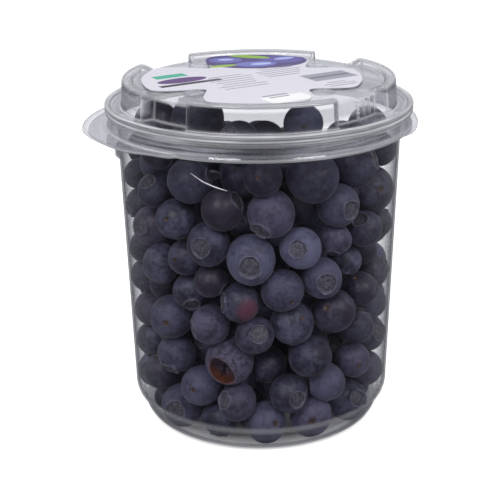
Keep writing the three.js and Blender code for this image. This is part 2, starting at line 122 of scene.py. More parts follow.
SMALLEST = 12.2
SIZE_SPREAD = 4.8
LOOSE_BERRIES = 175
SEED = 20417
START = {"reach": 42, "low": 8, "depth": 100}
HEAP_FLOOR = 1
HEAP_CEILING = 128.3
HEAP_TOP = 112.5
HEAP_SLOPE = 0.22
HEART = {"radius": 17, "low": 26, "high": 80}
SETTLING_PASSES = 320
RESTING_PASSES = 80
SINK = 0.08
SPREAD = 0.0006
PUSHES = 2
PASSES_BETWEEN_SEARCHES = 8
SEARCH_MARGIN = 5
MOST_SQUEEZE = 1.4
SIDE_LEAN = 0.7
# Berries against the front: azimuth, height, diameter and distance behind the wall. Some have an end that
# faces the front, and where it shows on the berry, as shares of its radius to the right and up
FRONT_BERRIES = [
    (211, 96, 12.4, 0, "crown", -0.4, 0.5), (236, 101.5, 14.8, 0), (252, 92, 14.2, 1, "crown", 0.8, 0.43),
    (227.5, 86, 14.2, 0, "stem", -0.5, 0), (243.5, 79, 15, 0, "crown", -0.4, -0.2), (296.5, 103, 17.2, 0),
    (275.5, 91, 16.4, 0, "crown", -0.5, -0.75), (309.5, 91.5, 15, 0, "crown", 0.65, -0.23),
    (347.5, 91, 17, 0, "stem", 0.46, 0.03), (330, 78.5, 13, 0, "crown", -0.28, 0.55), (310.5, 78, 11.4, 3),
    (289, 78, 14.2, 0, "crown", -0.15, -0.05), (211.5, 65.5, 14.2, 0),
    (230.5, 72, 12.8, 3, "stem", -0.66, -0.15), (245, 64, 12, 3), (260, 57.5, 13.8, 1),
    (229.5, 57, 13.6, 4, "crown", 0, -0.8),
    (218, 47, 15.6, 0, "stem", -0.3, -0.3), (245, 46.5, 13.6, 1), (265, 74, 17, 0, "crown", -0.04, -0.35),
    (301, 65, 14.2, 0, "crown", 0.28, -0.3), (280.5, 62.5, 14.8, 0, "stem", 0.43, -0.6),
    (309, 50.5, 15.4, 0, "stem", -0.28, 0.14), (287, 47.5, 15.4, 2, "stem", 0.5, 0.22),
    (329, 55.5, 12.6, 0, "stem", -0.3, 0.6), (329.5, 39.5, 13.4, 1), (266.5, 45, 13.4, 1, "crown", 0.2, 0.05),
    (254, 32, 17.8, 0), (237.5, 22, 14.6, 1, "stem", -0.45, -0.25),
    (218.5, 9, 15.8, 0, "crown", -0.42, -0.28), (259, 18, 13.8, 0, "crown", -0.76, 0.1),
    (247, 8.2, 13.8, 2), (219.5, 31.5, 14.2, 1),
    (284, 17.5, 13.8, 3, "crown", 0.5, -0.35), (297, 8.8, 15.4, 0, "stem", 0.05, -0.3),
    (328.5, 9, 15.4, 0, "crown", 0.62, 0.05), (305, 23, 13.8, 1), (295.5, 35, 15.2, 0),
    (325, 27.5, 12.8, 0, "stem", 0.4, -0.35), (271, 8.6, 15, 0, "stem", 0.5, -0.1), (188, 95, 12, 0),
    (187, 83.5, 12.6, 0), (202.5, 78, 14.6, 0, "crown", -0.68, -0.02), (190, 67.5, 12.8, 0),
    (189, 54.5, 12.8, 0), (204, 56, 12.4, 4), (189, 40.5, 13.2, 0), (189, 27.5, 13.2, 0),
    (190, 15, 14.6, 0, "crown", -0.55, -0.1),
    (199, 6.8, 11.4, 1), (214, 108.5, 12, 2), (352, 103, 12, 1), (350, 77, 12, 0), (346, 67, 12, 3),
    (350, 57, 12.6, 0), (326, 65.5, 12.2, 6), (350, 44, 12.6, 0), (350, 30, 14, 0, "crown", 0.72, 0.05),
    (346, 17, 14.4, 0), (352, 6.8, 11.4, 2), (275, 28, 14, 10),
]
# Berries under the crown: x, y, height and diameter
TOP_BERRIES = [
    (-23, -18, 119, 18), (-37, -13, 115.5, 15.5), (15.5, -29.5, 120, 13), (-7, -38, 116, 13.5),
    (2.5, -28, 113.2, 13.6), (41.5, -13, 112.6, 14), (-25, -16, 103, 14.5), (13, -25, 106, 15.5),
    (-6, -33, 102, 15.5), (38, -10, 100, 13), (-36, -15, 101.5, 13.5),
]
SPLIT = {"berry": 27, "azimuth": 249, "rise": -9, "width": 8.8, "height": 12, "lean": 36, "depth": 5}
BLUSHING = {"berry": 15, "right": 0.42, "up": -0.47, "from": 0.72, "over": 0.2}
# Painted shade: berries high in the heap, in the lid's shadow, get a darker tone
PAINTED_SHADE_ABOVE = {"height": 75, "over": 25, "more": 0.7}

# ---- Camera ----

CAMERA_RISE = 20.3  # degrees above the horizon
CAMERA_DISTANCE = 470
CAMERA_ROLL = 0.45
LOOK_AT_Z = 60
FOCAL_LENGTH = 87.34
FRAME_SHIFT = (-0.0202, 0.0124)


def way_to(azimuth, rise):
    """The way to a place at an azimuth, so many degrees above the level."""
    a, e = radians(azimuth), radians(rise)
    return Vector((cos(a) * cos(e), sin(a) * cos(e), sin(e)))


camera_place = way_to(270, CAMERA_RISE) * CAMERA_DISTANCE + Vector((0, 0, LOOK_AT_Z))


# ---- Meshes ----

def add_object(name, data):
    new = bpy.data.objects.new(name, data)
    bpy.context.scene.collection.objects.link(new)
    return new


def add_mesh(name, points, faces, replaces, slot, smooth=True):
    """A mesh object from points in millimetres. It rides on the row's one body."""
    mesh = bpy.data.meshes.new(name)
    mesh.from_pydata((np.asarray(points) * MM).tolist(), [], faces)
    mesh.validate()
    if smooth:
        mesh.shade_smooth()
    else:
        mesh.shade_flat()
    piece = add_object(name, mesh)
    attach(piece, "root")
    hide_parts(replaces)
    return piece


def paint_points(piece, name, values):
    """Gives each point three values, which a material reads under this name."""
    layer = piece.data.attributes.new(name, "FLOAT_COLOR", "POINT")
    colours = np.column_stack([values, np.ones(len(values))])
    layer.data.foreach_set("color", colours.astype(np.float32).ravel())


def ring_faces(rings, sides, first=0):
    """Faces between rings of points, each ring to the next."""
    faces = []
    for ring in range(rings - 1):
        here = first + ring * sides
        beyond = here + sides
        for side in range(sides):
            following = (side + 1) % sides
            faces.append((here + side, beyond + side, beyond + following, here + following))
    return faces


def fan(tip, ring, sides):
    """Faces from one point to the ring round it."""
    return [(tip, ring + side, ring + (side + 1) % sides) for side in range(sides)]


def skin_faces(rings, sides):
    """Faces of a closed skin: from its first point over its rings to its last point."""
    last = 1 + rings * sides
    closing = [(here, tip, following) for tip, here, following in fan(last, last - sides, sides)]
    return fan(0, 1, sides) + ring_faces(rings, sides, 1) + closing


def turned_over(faces):
    return [(face[0], *face[:0:-1]) for face in faces]


def at_azimuth(radius, azimuth):
    """x and y of a place at a radius from an axis."""
    angle = radians(azimuth)
    return radius * cos(angle), radius * sin(angle)


def smooth_step(t):
    t = np.clip(t, 0, 1)
    return t * t * (3 - 2 * t)


def value_at(table, x):
    """The value at x on a line through the points of a table, level beyond its ends."""
    for k, (at, value) in enumerate(table):
        if at >= x:
            if k == 0:
                return value
            before, low = table[k - 1]
            return low + ((value - low) * (x - before)) / (at - before)
    return table[-1][1]


# ---- Clear sheet, as a skin of revolution ----

FILLET = 0.8
FILLET_STEPS = 3
MOST_FILLET = 0.45  # of the stretch beside a corner
BESIDE_FILLET = 0.3
MOST_BESIDE = 0.04  # of the stretch beside a corner
# Turns at one point of a sheet that count as folds, in radians: along its profile and round the pack
SHARP_FOLD = 0.35
SHARP_BEND = 0.6
SHORTEST_STEP = 0.004


def rounded(corners):
    """A line through (radius, height, fillet) corners, with a point close beside each end of a fillet."""
    places = np.array([corner[:2] for corner in corners], float)
    line = [places[0]]
    for k in range(1, len(corners) - 1):
        before, corner, after = places[k - 1:k + 2]
        fillet = corners[k][2]
        if fillet == 0:
            line.append(corner)
            continue
        ends = []
        beside = []
        for other in (before, after):
            stretch = dist(corner, other)
            way = (other - corner) / stretch
            reach = min(fillet, MOST_FILLET * stretch)
            ends.append(corner + way * reach)
            beside.append(corner + way * (reach + min(BESIDE_FILLET, MOST_BESIDE * stretch)))
        line += [beside[0], ends[0]]
        for t in np.arange(1, FILLET_STEPS) / FILLET_STEPS:
            line.append(ends[0] * (1 - t) ** 2 + corner * 2 * t * (1 - t) + ends[1] * t * t)
        line += [ends[1], beside[1]]
    return np.array([*line, places[-1]])


def step_counts(line, longest_at):
    """How many steps each stretch of a line gets. longest_at(height) gives the longest step there."""
    return [ceil(dist(a, b) / longest_at((a[1] + b[1]) / 2)) for a, b in zip(line, line[1:])]


def divided(line, counts):
    out = [line[0]]
    for a, b, count in zip(line, line[1:], counts):
        for k in range(1, count + 1):
            out.append(a + (b - a) * (k / count))
    return np.array(out)


def both_faces(line, gauge):
    """The two faces of a sheet whose middle is the line: the one on its left, then the other, back again."""
    ahead = np.gradient(line, axis=0)
    ahead /= np.maximum(np.linalg.norm(ahead, axis=1, keepdims=True), 1e-9)
    left = np.column_stack([-ahead[:, 1], ahead[:, 0]]) * gauge / 2
    return np.vstack([line + left, (line - left)[::-1]])


def turning(places):
    """How far the line through the places, along their first axis, turns at each one, in radians."""
    ahead = np.diff(places, axis=0)
    lengths = np.linalg.norm(ahead, axis=-1)
    ahead /= np.maximum(lengths, SHORTEST_STEP)[..., None]
    cosines = np.clip((ahead[1:] * ahead[:-1]).sum(axis=-1), -1, 1)
    long_enough = np.minimum(lengths[1:], lengths[:-1]) > SHORTEST_STEP
    turns = np.zeros(places.shape[:-1])
    turns[1:-1] = np.arccos(cosines) * long_enough
    return turns


def fold_shares(grid):
    """1 where a sheet is folded sharply, 0 where it is even. The grid has its places by row and azimuth."""
    along = turning(grid) / SHARP_FOLD
    columns = grid.transpose(1, 0, 2)
    closed = np.concatenate([columns[-1:], columns, columns[:1]])
    outward = columns[:, :, :2] / np.maximum(np.linalg.norm(columns[:, :, :2], axis=-1, keepdims=True), 1e-9)
    steps = np.concatenate([outward[-1:], outward, outward[:1]])
    even = np.arccos(np.clip((steps[2:] * steps[:-2]).sum(axis=-1), -1, 1)) / 2
    around = np.maximum(turning(closed)[1:-1] - even, 0).T / SHARP_BEND
    return np.clip(np.maximum(along, around), 0, 1)


def sheet_of_revolution(azimuths, profile, counts, gauge, relief):
    """Points and faces of a sheet round the axis, and how folded it is at each point.

    profile(azimuth) gives the line along its middle, from the axis out, and counts say how it is divided.
    relief(azimuth, faces) presses the two faces of the sheet into shape.
    """
    columns = np.array([relief(a, both_faces(divided(profile(a), counts), gauge)) for a in azimuths])
    radii, heights = columns[:, 1:-1].transpose(2, 1, 0)
    angles = np.radians(azimuths)
    grid = np.stack([radii * np.cos(angles), radii * np.sin(angles), heights], axis=-1)
    points = [(0, 0, columns[0, 0, 1]), *grid.reshape(-1, 3), (0, 0, columns[0, -1, 1])]
    folds = [0, *fold_shares(grid).ravel(), 0]
    return points, skin_faces(len(grid), len(azimuths)), folds


def finer_azimuths(even_step, zones):
    """Even steps round the pack, with finer ones inside each (start, end, step) zone."""
    found = set()
    for k in range(round(360 / even_step)):
        azimuth = k * even_step
        if not any(start < azimuth < end or start < azimuth + 360 < end for start, end, _ in zones):
            found.add(round(azimuth, 4))
    for start, end, step in zones:
        count = round((end - start) / step)
        for k in range(count + 1):
            found.add(round((start + (end - start) * k / count) % 360, 4))
    return sorted(found)


def add_sheet(name, sheet, material, replaces, slot):
    points, faces, folds = sheet
    piece = add_mesh(name, points, faces, replaces, slot)
    layer = piece.data.attributes.new("folds", "FLOAT", "POINT")
    layer.data.foreach_set("value", np.asarray(folds, dtype=np.float32))
    piece.data.materials.append(material)
    return piece


def weigh_normals(piece):
    """Keeps flat stretches flat beside small fillets."""
    modifier = piece.modifiers.new("Normals", "WEIGHTED_NORMAL")
    modifier.weight = 80
    modifier.keep_sharp = True


# ---- Tub ----

def wall_radius(z):
    return SHOULDER_R + (z - SHOULDER_TOP) * WALL_LEAN


def tab_radius(azimuth):
    right = value_at(RIGHT_TAB, azimuth + 360 if azimuth < RIGHT_TAB[0][0] - 180 else azimuth)
    return max(value_at(LEFT_TAB, azimuth), right)


def tub_profile(azimuth):
    half = TUB_GAUGE / 2
    below_lug = WALL_LUG["low"] - 1
    above_lug = WALL_LUG["high"] + 1
    edge = max(FLANGE_R, tab_radius(azimuth) - TUB_TAB_BACK)
    return rounded([
        (0, half, 0),
        (BASE_R - 1.2, half, BASE_CORNER),
        (FOOT_R - half, FOOT_TOP + 0.2, 0.5),
        (SHOULDER_R - half, SHOULDER_TOP, 2 * FILLET),
        (wall_radius(below_lug) - half, below_lug, 0),
        (wall_radius(above_lug) - half, above_lug, 0),
        (MOUTH_R - half, MOUTH_Z, FILLET),
        (MOUTH_R + half, RIM_TOP - half, FILLET),
        (RIM_R - half, RIM_TOP - half, 0.9),
        (RIM_R - half, FLANGE_Z + half, FILLET),
        (edge, FLANGE_Z + half, 0),
    ])


def tub_relief(azimuth, faces):
    """The stacking lug, pressed out of the wall."""
    lug = WALL_LUG
    r, z = faces.T
    along = (azimuth - lug["azimuth"]) * radians(1) * MOUTH_R
    across = smooth_step((lug["width"] / 2 - abs(along)) / lug["side"] + 0.5)
    up = np.minimum(smooth_step((z - lug["low"]) / lug["proud"]), smooth_step((lug["high"] - z) / lug["top"]))
    return np.column_stack([r + lug["proud"] * across * up * (r <= MOUTH_R + 0.2), z])


def tub_row(z):
    return TUB_ROWS["lug" if WALL_LUG["low"] - 1 < z < WALL_LUG["high"] + 1 else "plain"]


def make_tub():
    counts = step_counts(tub_profile(NO_TAB), tub_row)
    azimuths = finer_azimuths(EVEN_STEP, TUB_ZONES)
    return sheet_of_revolution(azimuths, tub_profile, counts, TUB_GAUGE, tub_relief)


def make_streak():
    """A fine raised line on the wall at the front left, thin at its ends."""
    steps, sides = 28, 8
    azimuths, heights = np.array(STREAK).T
    points = []
    for k in range(steps + 1):
        azimuth = azimuths[0] + (azimuths[-1] - azimuths[0]) * k / steps
        z = np.interp(azimuth, azimuths, heights)
        girth = STREAK_GIRTH * (0.15 + 0.85 * sin(pi * k / steps) ** 0.6)
        for side in range(sides):
            turn = tau * side / sides
            x, y = at_azimuth(wall_radius(z) + STREAK_PROUD + girth * cos(turn), azimuth)
            points.append((x, y, z + girth * sin(turn)))
    ends = [tuple(reversed(range(sides))), tuple(range(steps * sides, (steps + 1) * sides))]
    return points, ring_faces(steps + 1, sides) + ends


# ---- Lid ----

def lug_share(azimuth):
    """1 on a crown lug, 0 between lugs."""
    share = 0.0
    for start, end in LUGS:
        for a in (azimuth, azimuth + 360):
            share = max(share, smooth_step(min(a - start, end - a) / LUG_END + 0.5))
    return share


def lid_profile(azimuth):
    half = LID_GAUGE / 2
    share = lug_share(azimuth)
    crown = GAP_R + (LUG_R - GAP_R) * share - half
    foot = crown + (CROWN_FOOT_R - LUG_R)
    lug_in = crown - LUG_WIDTH + half
    plateau = PLATEAU_Z - half
    top = PLATEAU_Z + (LUG_TOP - PLATEAU_Z) * share - half
    channel = CHANNEL_Z - half
    ring = RING_R - half
    grip = GRIP_R - half
    lip = LIP_Z - half
    edge = max(LIP_R, tab_radius(azimuth) - LID_TAB_BACK)
    past_lip = edge - LIP_R
    curl = 0.35 * smooth_step(past_lip / 3)
    return rounded([
        (0, plateau, 0),
        (lug_in - 1.2, plateau, FILLET),
        (lug_in, top, FILLET),
        (crown, top, 1.1),
        (foot, channel, FILLET),
        (RING_IN_R - 0.1 + half, channel, FILLET),
        (RING_IN_R + 0.45 + half, RING_TOP - half, 0.7),
        (ring, RING_TOP - half, 0.9),
        (ring, BEAD_Z + 1.6, 0.3),
        (ring - 0.7, BEAD_Z + 1.05, 0.4),
        (ring, BEAD_Z + 0.45, 0.5),
        (ring, BEAD_Z - 0.5, 0.5),
        (grip, BEAD_Z - 1.2, 1.1),
        (grip - 0.25, (BEAD_Z + LIP_Z) / 2, 1.2),
        (grip, LIP_Z + 0.9, FILLET),
        (LIP_R - 0.1, lip, 0.7),
        (edge - min(1.4, 0.6 * past_lip + 0.06), lip, 0.4),
        (edge - min(0.7, 0.3 * past_lip + 0.03), lip + curl, 0.4),
        (edge, lip + curl / 2, 0),
    ])


def lid_relief(azimuth, faces):
    """The string of beads and the sides of a column, pressed out of the gap's wall at the front right."""
    if not RIBS["from"] < azimuth < RIBS["to"]:
        return faces
    r, z = faces.T
    degree = radians(1) * GAP_R
    pitch = (PLATEAU_Z - 0.6 - CHANNEL_Z) / RIBS["beads"]
    rise = (((z - CHANNEL_Z) / pitch) % 1.0 - 0.5) * pitch
    away = np.hypot((azimuth - RIBS["string"]) * degree, rise) / RIBS["bead"]
    bead = np.sqrt(np.maximum(1 - away ** 2, 0))
    low, high = COLUMN_SIDES
    into = min(azimuth - low, high - azimuth) * degree
    ridge = exp(-((into / RIBS["ridge"]) ** 2)) * smooth_step((PLATEAU_Z - 0.4 - z) / 1.2)
    proud = RIBS["proud"] * np.maximum(bead, ridge) * smooth_step((r - GAP_R + 2.0) / 1.2)
    near = (r > GAP_R - 2.5) & (r < GAP_R + 1.2) & (z > CHANNEL_Z - 0.4)
    return np.column_stack([r + proud * near, z])


def lid_row(z):
    if abs(z - PLATEAU_Z) < 1:
        return LID_ROWS["flat"]
    return LID_ROWS["wall" if CHANNEL_Z < z < PLATEAU_Z else "edge"]


def make_lid():
    counts = step_counts(lid_profile(ON_LUG), lid_row)
    azimuths = finer_azimuths(EVEN_STEP, LID_ZONES)
    return sheet_of_revolution(azimuths, lid_profile, counts, LID_GAUGE, lid_relief)


def stud_places():
    return [at_azimuth(STUD["circle"], azimuth) for azimuth in STUD_AZIMUTHS]


def make_studs():
    """Domes on the plateau that centre the pack above, and how folded they are, which is not at all."""
    rings, sides = 8, 40
    points = []
    faces = []
    for middle_x, middle_y in stud_places():
        first = len(points)
        points.append((middle_x, middle_y, PLATEAU_Z + STUD["height"]))
        for ring in range(1, rings + 1):
            share = ring / rings
            sunk = 0.1 if ring == rings else 0
            z = PLATEAU_Z + STUD["height"] * (1 - share ** 4) ** 0.6 - sunk
            for side in range(sides):
                x, y = at_azimuth(STUD["radius"] * share, 360 * side / sides)
                points.append((middle_x + x, middle_y + y, z))
        faces += fan(first, first + 1, sides) + ring_faces(rings, sides, first + 1)
        faces.append(tuple(reversed(range(len(points) - sides, len(points)))))
    return points, faces, np.zeros(len(points))


# ---- Label ----

def label_radius(angle):
    """A round sheet, longer from front to back, with a hollow round the near side of each stud."""
    full = LABEL["radius"] + LABEL["reach"] * sin(radians(angle)) ** 2
    radius = full
    for stud_x, stud_y in stud_places():
        x, y = stud_x - LABEL["x"], stud_y - LABEL["y"]
        off = abs((angle - degrees(atan2(y, x)) + 540) % 360 - 180)
        share = cos(min(off / HOLLOW["half_angle"], 1) * pi / 2) ** 2
        near = hypot(x, y) - HOLLOW["from_stud"]
        radius = min(radius, full - (full - near) * share)
    return radius


def make_label():
    """A flat sheet, from the middle of its upper face out, over its edge and back in below."""
    sides, rings = 240, 12
    low = PLATEAU_Z + CLEARANCE
    high = low + LABEL["gauge"]
    outward = [(ring / rings, high) for ring in range(1, rings + 1)]
    inward = [(share, low) for share, _ in reversed(outward)]
    points = [(LABEL["x"], LABEL["y"], high)]
    for share, z in outward + inward:
        for side in range(sides):
            angle = 360 * side / sides
            x, y = at_azimuth(label_radius(angle) * share, angle)
            points.append((LABEL["x"] + x, LABEL["y"] + y, z))
    points.append((LABEL["x"], LABEL["y"], low))
    return points, skin_faces(2 * rings, sides)


# ---- Heap ----

DRAW_FACTOR = 16807
DRAW_RANGE = 2147483647
drawn = SEED

INSET = TUB_GAUGE + CLEARANCE + FACET_SLACK
CROWN_ROOM = GAP_R - LID_GAUGE - CLEARANCE - FACET_SLACK
NECK_Z = MOUTH_Z - 2
# How far out the berries may reach: height and radius
ROOM = [
    (HEAP_FLOOR, BASE_R - BASE_CORNER - FACET_SLACK),
    (BASE_CORNER + CLEARANCE, BASE_R - INSET),
    (FOOT_INSIDE, FOOT_R - INSET),
    (SHOULDER_INSIDE, SHOULDER_R - INSET),
    (NECK_Z, wall_radius(NECK_Z) - INSET),
    (CHANNEL_Z - LID_GAUGE - CLEARANCE, CROWN_ROOM),
    (HEAP_CEILING, CROWN_ROOM),
]


def draw():
    """Seeded draws from 0 to 1."""
    global drawn
    drawn = (drawn * DRAW_FACTOR) % DRAW_RANGE
    return drawn / DRAW_RANGE


def tidy(value):
    """Rounded so that the heap settles alike wherever it is worked out."""
    return floor(value * 1000 + 0.5) / 1000


@dataclass
class Berry:
    """A berry and what of it faces the front: its crown, its stem, its plain side, or any."""

    x: float
    y: float
    z: float
    r: float
    placed: bool
    face: str = "any"
    right: float = 0.0
    up: float = 0.0


def centre_limit(z, r):
    """How far out the centre of a berry may be."""
    rise = SIDE_LEAN * r
    slack = r - sqrt(r * r - rise * rise)
    ends = min(value_at(ROOM, z - rise), value_at(ROOM, z + rise)) + slack
    return min(value_at(ROOM, z), ends) - r


def settle(berry):
    """A loose berry drops and rolls out toward the wall."""
    berry.z -= SINK
    berry.x += berry.x * SPREAD
    berry.y += berry.y * SPREAD


def way_between(a, b):
    return b.x - a.x, b.y - a.y, b.z - a.z


def near_pairs(heap):
    pairs = []
    for i, a in enumerate(heap):
        for b in heap[i + 1:]:
            reach = a.r + b.r + SEARCH_MARGIN
            dx, dy, dz = way_between(a, b)
            if dx * dx + dy * dy + dz * dz < reach * reach:
                pairs.append((a, b))
    return pairs


def part(a, b):
    """Moves two berries that overlap apart. A placed berry holds its ground against a loose one."""
    dx, dy, dz = way_between(a, b)
    gap = sqrt(dx * dx + dy * dy + dz * dz)
    overlap = a.r + b.r - gap
    if overlap <= 0:
        return
    share_a = 0.5 if a.placed == b.placed else float(b.placed)
    move_a = (overlap * share_a) / gap
    move_b = (overlap * (1 - share_a)) / gap
    a.x -= dx * move_a
    a.y -= dy * move_a
    a.z -= dz * move_a
    b.x += dx * move_b
    b.y += dy * move_b
    b.z += dz * move_b


def contain(berry):
    """Keeps a berry off the floor, the lid, the wall and the heart of the heap."""
    top = HEAP_CEILING if berry.placed else HEAP_TOP - HEAP_SLOPE * berry.y
    berry.z = min(max(berry.z, HEAP_FLOOR + berry.r), top - berry.r)
    rise = berry.z - min(max(berry.z, HEART["low"]), HEART["high"])
    out = sqrt(berry.x * berry.x + berry.y * berry.y)
    from_heart = sqrt(out * out + rise * rise)
    clear = HEART["radius"] + berry.r
    if from_heart < clear and out > 0:
        grow = clear / from_heart
        berry.x *= grow
        berry.y *= grow
        berry.z += rise * (grow - 1)
    limit = centre_limit(berry.z, berry.r)
    now = sqrt(berry.x * berry.x + berry.y * berry.y)
    if now > limit:
        berry.x *= limit / now
        berry.y *= limit / now


def unsettled_berries():
    """The berries that are placed one by one, then loose ones anywhere in the tub."""
    heap = []
    for azimuth, z, size, behind, *facing in FRONT_BERRIES:
        r = size / 2
        x, y = at_azimuth(centre_limit(z, r) - behind, azimuth)
        heap.append(Berry(tidy(x), tidy(y), z, r, True, *(facing or ["plain"])))
    for x, y, z, size in TOP_BERRIES:
        heap.append(Berry(x, y, z, size / 2, True))
    for _ in range(LOOSE_BERRIES):
        r = (SMALLEST + (SIZE_SPREAD * (draw() + draw())) / 2) / 2
        x = y = 1
        while x * x + y * y > 1:
            x = 2 * draw() - 1
            y = 2 * draw() - 1
        z = START["low"] + START["depth"] * draw()
        heap.append(Berry(x * START["reach"], y * START["reach"], z, r, False))
    return heap


def fits(berry, other):
    nearest = berry.r + other.r - MOST_SQUEEZE
    dx, dy, dz = way_between(berry, other)
    return dx * dx + dy * dy + dz * dz > nearest * nearest


def settled_berries():
    """The heap once it has come to rest, without the loose berries that found no room."""
    heap = unsettled_berries()
    pairs = []
    for step in range(SETTLING_PASSES + RESTING_PASSES):
        if step % PASSES_BETWEEN_SEARCHES == 0:
            pairs = near_pairs(heap)
        if step < SETTLING_PASSES:
            for berry in heap:
                if not berry.placed:
                    settle(berry)
        for _ in range(PUSHES):
            for a, b in pairs:
                part(a, b)
        for berry in heap:
            contain(berry)
    kept = []
    for berry in heap:
        if berry.placed or all(fits(berry, other) for other in kept):
            kept.append(berry)
    return kept


# ---- One berry ----

BERRY_SWELL = 1.04  # ripe berries press on each other, so each is drawn a little over its settled size
LONGEST_REACH = 1.05  # of any point of a berry from its middle, in shares of its radius
WALL_TOUCH = 0.1  # left between the tub and a berry that is pressed flat on it
BERRY_SIDES = 40
# Rings of the crown: radius and rise in shares of the berry's radius, the extra rise of a sepal,
# and how much a ring belongs to the dish and to the dry edge
CROWN_RINGS = [
    (1.30, 0, 0, 0, 0), (1.12, 0.008, 0.00, 0, 0), (1.04, 0.026, 0.02, 0, 0.1),
    (1.00, 0.050, 0.05, 0, 0.5), (0.95, 0.058, 0.06, 0.1, 1), (0.90, 0.030, 0.03, 0.7, 0.5),
    (0.84, -0.035, 0.00, 1, 0), (0.70, -0.070, 0.00, 1, 0), (0.48, -0.052, 0.00, 1, 0),
    (0.24, -0.055, 0.00, 1, 0), (0.10, -0.100, 0.00, 1, 0),
]
BODY_RINGS = 14
# Rings of the stem scar: radius and rise, and how much a ring belongs to it
STEM_RINGS = [(1.7, 0.0, 0), (1.12, 0.012, 0.3), (0.86, -0.02, 0.9), (0.45, -0.045, 1)]
BERRY_RINGS = len(CROWN_RINGS) + BODY_RINGS + len(STEM_RINGS)
BERRY_POINTS = 2 + BERRY_RINGS * BERRY_SIDES


def berry_shape(rng):
    """Points and marks of a berry of unit radius, with its crown up. Marks: dish, dry edge and stem scar."""
    turn = np.arange(BERRY_SIDES) * tau / BERRY_SIDES
    level = np.ones(BERRY_SIDES)
    flat = rng.uniform(0.86, 0.95)
    crown = rng.uniform(0.43, 0.53)
    scar = rng.uniform(0.10, 0.145)
    lean = rng.uniform(0.0, 0.07)
    bottom = 0.5 + flat / 2
    sepal = (0.5 + 0.5 * np.cos(5 * turn)) ** 0.7 * (1 + 0.3 * np.cos(turn * 2 + rng.uniform(0, 6)))
    ragged = 1 + 0.03 * np.cos(3 * turn + rng.uniform(0, 6)) + 0.02 * np.cos(7 * turn + rng.uniform(0, 6))
    rings = []
    for radius, rise, by_sepal, dish, edge in reversed(CROWN_RINGS):
        out = radius * crown * ragged + lean * by_sepal * 10 * sepal * crown
        height = flat * sqrt(1 - min(radius * crown, 0.99) ** 2) + rise + by_sepal * sepal
        rings.append((out, height, (dish, edge, 0)))
    first = asin(CROWN_RINGS[0][0] * crown)
    last = pi - asin(STEM_RINGS[0][0] * scar)
    for k in range(1, BODY_RINGS + 1):
        polar = first + (last - first) * k / (BODY_RINGS + 1)
        squash = flat if polar < pi / 2 else bottom
        rings.append((level * sin(polar), squash * cos(polar), (0, 0, 0)))
    for radius, rise, mark in STEM_RINGS:
        height = -bottom * sqrt(1 - (radius * scar) ** 2) - rise
        rings.append((level * radius * scar, height, (0, 0, mark)))
    points = [(0, 0, flat - 0.1)]
    marks = [(1, 0, 0)]
    for out, height, mark in rings:
        points.extend(np.column_stack([out * np.cos(turn), out * np.sin(turn), height * level]))
        marks += [mark] * BERRY_SIDES
    points = np.array([*points, (0, 0, 0.035 - bottom)])
    lumps = 1.0
    for _ in range(3):
        way = rng.normal(size=3)
        way /= np.linalg.norm(way)
        height = rng.uniform(0.008, 0.024)
        lumps = lumps + height * np.cos(points @ way * rng.uniform(1.5, 3.2) + rng.uniform(0, 6))
    points = points * lumps[:, None] * np.array([1, rng.uniform(0.95, 1.0), 1])
    points /= np.quantile(np.linalg.norm(points[:, :2], axis=1), 0.94)
    reach = np.linalg.norm(points, axis=1, keepdims=True)
    return points / np.maximum(reach / LONGEST_REACH, 1), np.array([*marks, (0, 0, 1)], float)


def toward_front(berry, right, up):
    """The way from a berry's middle to a spot seen right of it and above, in shares of its radius."""
    to_camera = (camera_place - Vector((berry.x, berry.y, berry.z))).normalized()
    across = Vector((0, 0, 1)).cross(to_camera).normalized()
    over = to_camera.cross(across)
    ahead = sqrt(max(0.0, 1 - right * right - up * up))
    return (across * right + over * up + to_camera * ahead).normalized()


def berry_axis(berry, rng):
    """Which way the berry's crown points."""
    if berry.face == "crown":
        return toward_front(berry, berry.right, berry.up)
    if berry.face == "stem":
        return -toward_front(berry, berry.right, berry.up)
    if berry.face == "plain":
        angle = rng.uniform(0, tau)
        return toward_front(berry, cos(angle) * 0.98, sin(angle) * 0.98)
    return Vector(rng.normal(size=3)).normalized()


def kept_inside(points):
    """Presses the points of a berry that reach the tub flat against it."""
    out = np.hypot(points[:, 0], points[:, 1])
    heights, radii = np.array(ROOM).T
    room = np.interp(points[:, 2], heights, radii + CLEARANCE + FACET_SLACK - WALL_TOUCH)
    inward = np.minimum(room / np.maximum(out, 1e-6), 1)
    pressed = points * np.column_stack([inward, inward, np.ones(len(points))])
    pressed[:, 2] = np.clip(pressed[:, 2], TUB_GAUGE + WALL_TOUCH, HEAP_CEILING)
    return pressed


